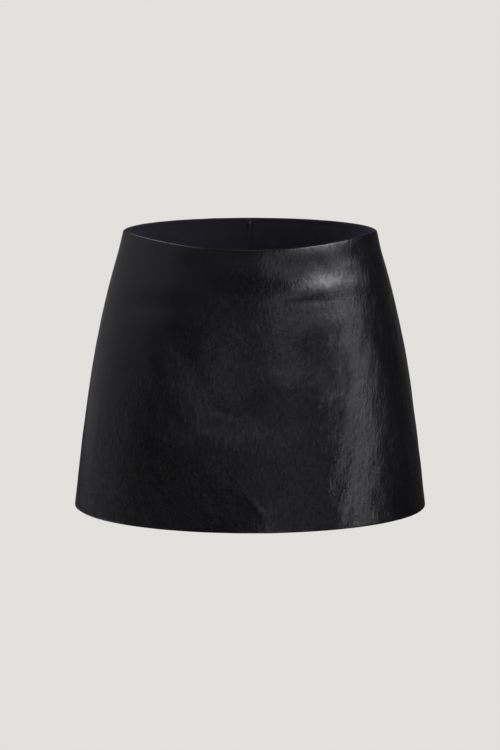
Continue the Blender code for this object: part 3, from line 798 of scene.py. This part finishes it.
def direction(azimuth_deg, elevation_deg):
    """Out of the garment: azimuth 0 is the front, and a positive one is to the picture's right."""
    azimuth, elevation = math.radians(azimuth_deg), math.radians(elevation_deg)
    flat = math.cos(elevation)
    return Vector((flat * math.sin(azimuth), -flat * math.cos(azimuth), math.sin(elevation)))


def make_camera():
    data = bpy.data.cameras.new("camera")
    data.lens = CAMERA_LENS_MM
    data.sensor_width = CAMERA_SENSOR_MM
    camera = bpy.data.objects.new("camera", data)
    bpy.context.scene.collection.objects.link(camera)
    back = direction(0, CAMERA_ELEVATION_DEG)
    camera.location = CAMERA_TARGET + back * CAMERA_DISTANCE
    camera.rotation_euler = back.to_track_quat("Z", "Y").to_euler()
    bpy.context.scene.camera = camera


# A light's width and height are angles as the garment sees them. Its strength is its power for
# each square metre, at its middle.
Light = namedtuple("Light", "name azimuth elevation width height strength")
LIGHTS = (
    Light("softbox_right", 67, 30, 52, 12, 30.0),
    Light("softbox_right_fringe", 58, 21, 72, 8, 4.5),
    Light("softbox_right_side", 87, 20, 17, 14, 8.0),
    Light("softbox_right_low", 68, 14, 26, 6, 9.0),
    Light("ribbon_1", 83, 8, 10, 10, 5.0),
    Light("ribbon_2", 76, 5, 9, 9, 10.0),
    Light("ribbon_3", 71, 2, 7, 8, 23.0),
    Light("ribbon_4", 65, -1, 6, 8, 30.0),
    Light("ribbon_5", 60, -4, 6, 8, 26.0),
    Light("ribbon_6", 53, -9, 8, 9, 38.0),
    Light("right_edge", 130, 0, 11, 14, 0.5),
    Light("front_right", 45, 10, 28, 9, 3.0),
    Light("front_right_near", 24, 11, 34, 8, 3.2),
    Light("front_right_band", 20, 4, 30, 5, 3.6),
    Light("front_middle", -14, 10, 74, 12, 0.5),
    Light("front_right_low", 24, -9, 50, 12, 1.1),
    Light("front_low", -14, -1, 36, 7, 2.6),
    Light("left_low", -50, -16, 50, 14, 0.9),
    Light("floor_glow_front", 12, -26, 36, 13, 7.5),
    Light("floor_glow_left", -125, -27, 96, 13, 15.0),
    Light("left_wall", -114, 7, 108, 36, 0.85),
    Light("left_wall_high", -66, 20, 84, 16, 0.6),
    Light("left_above", -95, 44, 80, 16, 16.0),
    Light("back_wall_right", 157, 10, 42, 44, 0.8),
    Light("over_front", 0, 52, 56, 30, 4.0),
)
LIGHT_DISTANCE = 2.5
SOFT_SPREAD = 1.15  # each light fades towards its ends
LIGHT_TINT = (1.0, 0.975, 1.04)


def fade_out(data, spread):
    """Fades a light to nothing at this angle, and keeps its middle as strong."""
    data.spread = spread
    data.energy *= 1 - spread / 2 / math.tan(spread / 2)


def make_lights():
    centre = Vector((0, 0, -HEM_DROP / 2))
    for light in LIGHTS:
        data = bpy.data.lights.new(light.name, "AREA")
        data.shape = "RECTANGLE"
        data.size = 2 * LIGHT_DISTANCE * math.tan(math.radians(light.width / 2))
        data.size_y = 2 * LIGHT_DISTANCE * math.tan(math.radians(light.height / 2))
        data.energy = light.strength * data.size * data.size_y
        fade_out(data, math.radians(light.width * SOFT_SPREAD))
        data.color = LIGHT_TINT
        lamp = bpy.data.objects.new(light.name, data)
        bpy.context.scene.collection.objects.link(lamp)
        out = direction(light.azimuth, light.elevation)
        facing = out.to_track_quat("Z", "Y").to_matrix().to_4x4()
        lamp.matrix_world = Matrix.Translation(centre + out * LIGHT_DISTANCE) @ facing
        lamp.visible_camera = False


def shown_to_camera(tree, seen):
    """The backdrop's colour where the camera sees it, and a dim one where it lights the garment."""
    colour = tree.nodes.new("ShaderNodeMix")
    colour.data_type = "RGBA"
    colour.inputs["A"].default_value = (*SURROUND, 1.0)
    colour.inputs["B"].default_value = (*from_srgb(BACKDROP_SRGB), 1.0)
    path = tree.nodes.new("ShaderNodeLightPath")
    tree.links.new(path.outputs["Is Camera Ray"], colour.inputs["Factor"])
    tree.links.new(colour.outputs["Result"], seen)


def make_world():
    bpy.context.scene.view_settings.view_transform = "Standard"
    world = bpy.data.worlds.new("studio")
    world.use_nodes = True
    bpy.context.scene.world = world
    shown_to_camera(world.node_tree, world.node_tree.nodes["Background"].inputs["Color"])


def make_floor():
    """A pale floor that shows its colour evenly and lights the garment only a little."""
    mesh = bpy.data.meshes.new("floor")
    corners = [(-1, -1), (1, -1), (1, 1), (-1, 1)]
    points = [(x * FLOOR_RADIUS, y * FLOOR_RADIUS, FLOOR_HEIGHT) for x, y in corners]
    mesh.from_pydata(points, [], [(0, 1, 2, 3)])
    floor = bpy.data.objects.new("floor", mesh)
    bpy.context.scene.collection.objects.link(floor)
    material = bpy.data.materials.new("floor_pale")
    material.use_nodes = True
    tree = material.node_tree
    tree.nodes.clear()
    glow = tree.nodes.new("ShaderNodeEmission")
    output = tree.nodes.new("ShaderNodeOutputMaterial")
    shown_to_camera(tree, glow.inputs["Color"])
    tree.links.new(glow.outputs[0], output.inputs["Surface"])
    mesh.materials.append(material)


# ---------------------------------------------------------------- dressing the frame
def dress(obj, materials, slot, *nodes, body="skort"):
    """Gives a piece its materials, hangs it from the body it moves with, and hides the solids it stands for.
    """
    for material in materials:
        obj.data.materials.append(material)
    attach(obj, body)
    if nodes:
        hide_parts(*nodes)


def is_backing(drop, inward):
    """The leather's cloth side shows inside, from the waist's roll to the hem's turning."""
    return (inward >= LEATHER) & (drop < HEM_DROP - HEM_TURN)


def make_skirt(leather, backing):
    profile = skirt_profile()
    front = make_panel(
        "skirt_front_cloth",
        skirt_surface,
        (lambda drop: -side_seam_angle(drop, False), lambda drop: side_seam_angle(drop, False)),
        FRONT_COLUMNS,
        profile,
        LEATHER_ROLLS,
        lined=is_backing,
    )
    dress(front, (leather, backing), "leather", "skirt_front")
    for side, sign in (("left", 1), ("right", -1)):
        back = make_panel(
            f"skirt_back_{side}_cloth",
            skirt_surface,
            (
                lambda drop, sign=sign: sign * side_seam_angle(drop, True),
                lambda drop, sign=sign: sign * centre_back_angle(drop),
            ),
            BACK_COLUMNS,
            profile,
            LEATHER_ROLLS,
            lined=is_backing,
        )
        dress(back, (leather, backing), "leather", f"skirt_back_{side}")


def make_shorts(cloth, thread):
    profile = shorts_profile()
    for side, mirrored in (("left", False), ("right", True)):
        front = make_panel(
            f"shorts_front_{side}_cloth",
            leg_surface,
            (lambda drop: rise_turn(drop, HALF_SEAM, False), lambda drop: side_turn(drop, False)),
            SHORTS_COLUMNS,
            profile,
            SHORTS_ROLLS,
            mirrored,
        )
        dress(front, (cloth,), "shorts_cloth", f"shorts_front_{side}")
        back = make_panel(
            f"shorts_back_{side}_cloth",
            leg_surface,
            (
                lambda drop: side_turn(drop, True),
                lambda drop: rise_turn(drop, zip_half_gap(drop), True),
            ),
            SHORTS_COLUMNS,
            profile,
            SHORTS_ROLLS,
            mirrored,
        )
        dress(back, (cloth,), "shorts_cloth", f"shorts_back_{side}")
        make_hem_stitches(side, mirrored, thread)


def make_stitches(name, starts, ends, normals, thread):
    """One row of straight stitches, each pulled into the cloth at its two ends."""
    share, lift, girth = np.array(STITCH_SHAPE).T[:, None, :, None]
    girth = girth * STITCH_RADIUS
    run = ends - starts
    starts, run = starts + run * STITCH_SPACE / 2, run * (1 - STITCH_SPACE)
    centres = starts[:, None] + run[:, None] * share + normals[:, None] * lift * STITCH_RADIUS
    aside = np.cross(run / np.linalg.norm(run, axis=-1, keepdims=True), normals)
    obj = strands(name, centres, normals[:, None] * girth, -aside[:, None] * girth)
    dress(obj, (thread,), "shorts_cloth")


def make_hem_stitches(side, mirrored, thread):
    """A row round a leg, on both faces of the cloth, that holds the shorts' hem up."""
    turn = np.linspace(0, 2 * math.pi, HEM_STITCHES, endpoint=False) + math.pi / HEM_STITCHES
    drop = np.full_like(turn, SHORTS_HEM_DROP - SHORTS_HEM_TURN)
    points, normals = leg_surface(turn, drop), normal_at(leg_surface, turn, drop)
    if mirrored:
        points, normals = points[::-1] * (-1, 1, 1), normals[::-1] * (-1, 1, 1)
    for face, way, inward in (("outside", 1, 0.0), ("inside", -1, LINING)):
        starts = points - normals * inward
        ends = np.roll(starts, -1, axis=0)
        make_stitches(f"shorts_hem_stitches_{side}_{face}", starts, ends, way * normals, thread)


def at_centre_back(across, drop, inward):
    """Points beside the centre back seam, this far inside the leather's outer face."""
    middle = skirt_surface(math.pi, drop)
    out = normal_at(skirt_surface, math.pi, drop)
    return middle - out * inward[..., None] + across[..., None] * np.array((1.0, 0.0, 0.0)), out


def make_coil(material):
    """Two rows of nylon coil whose loops mesh in the middle."""
    turns = (ZIP_END_DROP - ZIP_TOP_DROP - 2 * COIL_WIRE) / COIL_PITCH - COIL_LAG
    t = np.arange(round(turns * COIL_POINTS) + 1) / COIL_POINTS
    phase = 2 * math.pi * t
    rows = []
    for side, ahead in ((1, 0.0), (-1, COIL_LAG)):
        drop = ZIP_TOP_DROP + COIL_WIRE + COIL_PITCH * (t + ahead)
        across = side * (COIL_MIDDLE + COIL_REACH * np.cos(phase))
        inward = COIL_INWARD + COIL_RISE * np.sin(phase)
        centres, out = at_centre_back(across, drop, inward)
        axis, _ = at_centre_back(np.full_like(t, side * COIL_MIDDLE), drop, np.full_like(t, COIL_INWARD))
        along = np.gradient(centres, axis=0)
        along /= np.linalg.norm(along, axis=-1, keepdims=True)
        first = centres - axis
        first -= along * (first * along).sum(-1, keepdims=True)
        first /= np.linalg.norm(first, axis=-1, keepdims=True)
        rows.append((centres, first * COIL_WIRE, np.cross(along, first) * COIL_WIRE))
    centres, first, second = (np.stack(part) for part in zip(*rows))
    obj = strands("zip_coil_rows", centres, first, second)
    dress(obj, (material,), "zip_coil", "zip_chain")


def make_tapes(material):
    """The zip's tapes, behind the coil and the shorts' edges, with the shorts sewn on along them."""
    down = evenly(ZIP_TOP_DROP, ZIP_END_DROP + TAPE_BEYOND, SHORTS_STEP)
    profile = [(drop, TAPE_INWARD) for drop in down]
    profile += [(drop, TAPE_INWARD + TAPE_THICKNESS) for drop in reversed(down)]

    def half_angle(drop):
        return TAPE_HALF_WIDTH / smooth_table(SKIRT_SECTIONS, drop)[0]

    edges = (lambda drop: math.pi - half_angle(drop), lambda drop: math.pi + half_angle(drop))
    tapes = make_panel("zip_tapes", skirt_surface, edges, TAPE_COLUMNS, profile, (0.0, 0.0))
    dress(tapes, (material,), "zip_coil")


def make_zip_stitches(thread):
    """The rows that hold the shorts' folded edges to the zip's tapes, seen from inside."""
    drop = np.array(evenly(ZIP_TOP_DROP, ZIP_END_DROP, STITCH_LENGTH))
    for side, mirrored in (("left", False), ("right", True)):
        turn = rise_turn(drop, ZIP_SLOT + ZIP_STITCH_INSET, True)
        normals = normal_at(leg_surface, turn, drop)
        at = leg_surface(turn, drop) - normals * LINING
        if mirrored:
            at, normals = at * (-1, 1, 1), normals * (-1, 1, 1)
        make_stitches(f"zip_stitches_{side}", at[:-1], at[1:], -normals[:-1], thread)


def pull_outline():
    """The pull's flat outline, hanging from its pin at 0, 0: a fork above a teardrop's tip."""
    slot, top = NECK_HALF_WIDTH + SEAM_GAP, PIN_RADIUS + PULL_TOP_RIM
    right = [(slot, -PULL_WINDOW_END), (slot, top), (PULL_TOP_HALF_WIDTH, top)]
    right.append((PULL_TOP_HALF_WIDTH, -PULL_WINDOW_END))
    arc = []
    for i in range(PULL_TIP_STEPS + 1):
        angle = math.radians(PULL_TIP_RISE_DEG - (180 + 2 * PULL_TIP_RISE_DEG) * i / PULL_TIP_STEPS)
        x, y = PULL_TIP_RADIUS * math.cos(angle), PULL_TIP_RADIUS * math.sin(angle)
        arc.append((x, PULL_TIP_RADIUS - PULL_LENGTH + y))
    left = [(-x, y) for x, y in reversed(right)]
    return right + arc + left


def make_pull(metal):
    """A flat teardrop with rounded edges and its pin, which turns in the slider's eye."""
    bm = bmesh.new()
    face = bm.faces.new([bm.verts.new((x, y, -PULL_THICKNESS / 2)) for x, y in pull_outline()])
    grown = bmesh.ops.extrude_face_region(bm, geom=[face])
    lifted = [part for part in grown["geom"] if isinstance(part, bmesh.types.BMVert)]
    bmesh.ops.translate(bm, vec=(0, 0, PULL_THICKNESS), verts=lifted)
    bmesh.ops.recalc_face_normals(bm, faces=bm.faces)
    rims = [edge for edge in bm.edges if edge.calc_face_angle(0.0) > SHARP_ANGLE]
    bmesh.ops.bevel(bm, geom=rims, offset=PULL_BEVEL, segments=PULL_BEVEL_STEPS, profile=0.5, affect="EDGES")
    bmesh.ops.create_cone(
        bm,
        cap_ends=True,
        segments=PIN_SIDES,
        radius1=PIN_RADIUS,
        radius2=PIN_RADIUS,
        depth=2 * (NECK_HALF_WIDTH + 2 * SEAM_GAP),
        matrix=Matrix.Rotation(math.pi / 2, 4, "Y"),
    )
    mesh = bpy.data.meshes.new("zip_pull_bevelled")
    bm.to_mesh(mesh)
    mesh.shade_smooth()
    mesh.set_sharp_from_angle(angle=SHARP_ANGLE)
    out = Vector(normal_at(bare_skirt, np.float64(math.pi), np.float64(SLIDER_DROP)))
    across = Vector((-1, 0, 0))
    out.x = 0
    out.normalize()
    place = Matrix((across, out.cross(across), out)).transposed().to_4x4()
    place.translation = Vector(frame["joints"][0]["pos_m"])
    mesh.transform(place @ Matrix.Rotation(math.radians(PULL_TILT_DEG), 4, "X"))
    pull = bpy.data.objects.new("zip_pull_bevelled", mesh)
    bpy.context.scene.collection.objects.link(pull)
    dress(pull, (metal,), "zip_metal", "zip_pull", body="pull")


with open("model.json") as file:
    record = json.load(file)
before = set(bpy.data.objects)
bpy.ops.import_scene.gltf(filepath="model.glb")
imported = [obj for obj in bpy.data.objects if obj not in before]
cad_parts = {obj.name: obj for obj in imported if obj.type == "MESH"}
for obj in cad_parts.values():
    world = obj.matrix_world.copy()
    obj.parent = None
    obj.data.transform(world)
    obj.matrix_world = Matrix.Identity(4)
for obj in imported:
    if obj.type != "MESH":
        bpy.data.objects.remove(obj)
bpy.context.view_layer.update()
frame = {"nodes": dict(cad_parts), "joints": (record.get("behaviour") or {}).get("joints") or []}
make_camera()
make_world()
make_lights()
make_floor()
thread = thread_material()
coil = satin_material("zip_coil_fine", COIL_BLACK, metallic=0.0, speckles=1500.0, roughness=(0.45, 0.6))
metal = satin_material("zip_metal_fine", METAL_BLACK, metallic=0.15, speckles=900.0, roughness=(0.38, 0.5))
make_skirt(leather_material(), woven("leather_backing_fine", BACKING_BLACK, BACKING_THREADS))
make_shorts(woven("shorts_cloth_fine", SHORTS_BLACK, SHORTS_THREADS), thread)
make_coil(coil)
make_tapes(coil)
make_zip_stitches(thread)
make_pull(metal)
frame["nodes"]["zip_slider"].data.materials.clear()
frame["nodes"]["zip_slider"].data.materials.append(metal)
